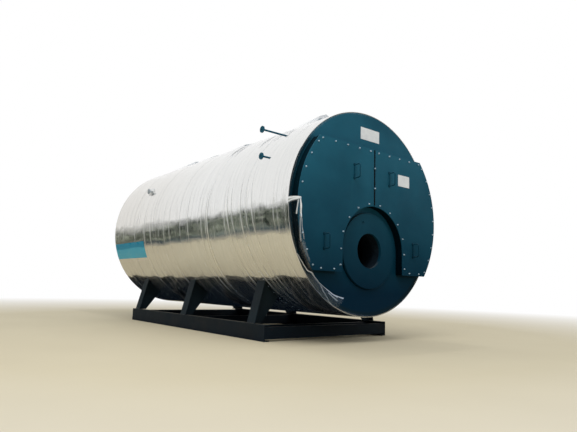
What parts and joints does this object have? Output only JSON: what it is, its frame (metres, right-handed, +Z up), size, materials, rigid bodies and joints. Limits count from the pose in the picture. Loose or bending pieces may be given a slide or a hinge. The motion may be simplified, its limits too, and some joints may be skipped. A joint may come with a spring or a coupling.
{
  "type": "horizontal fire-tube industrial boiler",
  "caption": "Horizontal fire-tube boiler: clad drum wrapped in clear film, painted front smoke box with bolted doors and a round burner opening, on legs and a skid base.",
  "frame": {"origin": "middle of the model's outer box, on the underside of the base beams", "axes": "+Z up, -Y towards the burner front, +X to the right seen from the front"},
  "size_m": [3.2772, 7.276, 3.89],
  "materials": {
    "teal_paint": "semi-gloss teal enamel",
    "base_paint": "dark grey primer paint",
    "stainless": "mirror-rolled stainless sheet",
    "film": "clear stretch film",
    "wool": "mineral wool",
    "refractory": "sooty castable refractory",
    "boiler_plate": "bare boiler plate with mill scale",
    "plate_white": "bare white sheet"
  },
  "bodies": {
    "root": {"base_beam_left": "base_paint", "base_beam_right": "base_paint", "cross_members": "base_paint", "leg_front_left": "base_paint", "leg_front_right": "base_paint", "leg_middle_left": "base_paint", "leg_middle_right": "base_paint", "leg_rear_left": "base_paint", "leg_rear_right": "base_paint", "pressure_shell": "boiler_plate", "insulation": "wool", "front_plate": "teal_paint", "rear_plate": "teal_paint", "jacket_band_1": "stainless", "jacket_band_2": "stainless", "jacket_band_3": "stainless", "jacket_band_4": "stainless", "jacket_band_5": "stainless", "jacket_band_6": "stainless", "smoke_box": "teal_paint", "smoke_door_left": "teal_paint", "smoke_door_right": "teal_paint", "door_handles_left": "teal_paint", "door_handles_right": "teal_paint", "burner_plate": "teal_paint", "burner_throat": "refractory", "furnace_tube": "boiler_plate", "reversal_chamber": "boiler_plate", "level_nozzles_left": "teal_paint", "level_nozzles_right": "teal_paint", "side_nozzle": "teal_paint", "drain_nozzles": "teal_paint", "steam_outlet": "teal_paint", "safety_nozzles": "teal_paint", "manhole_neck": "teal_paint", "manhole_cover": "teal_paint", "lifting_eyes": "teal_paint", "rear_smoke_box": "teal_paint", "rear_door_left": "teal_paint", "rear_door_right": "teal_paint", "rear_panel": "teal_paint", "flue_neck": "teal_paint", "flue_flange": "teal_paint", "rear_access_neck": "teal_paint", "rear_access_cover": "teal_paint", "sign_plate": "plate_white", "data_plate": "plate_white", "stretch_film": "film", "film_flap": "film"}
  },
  "joints": []
}
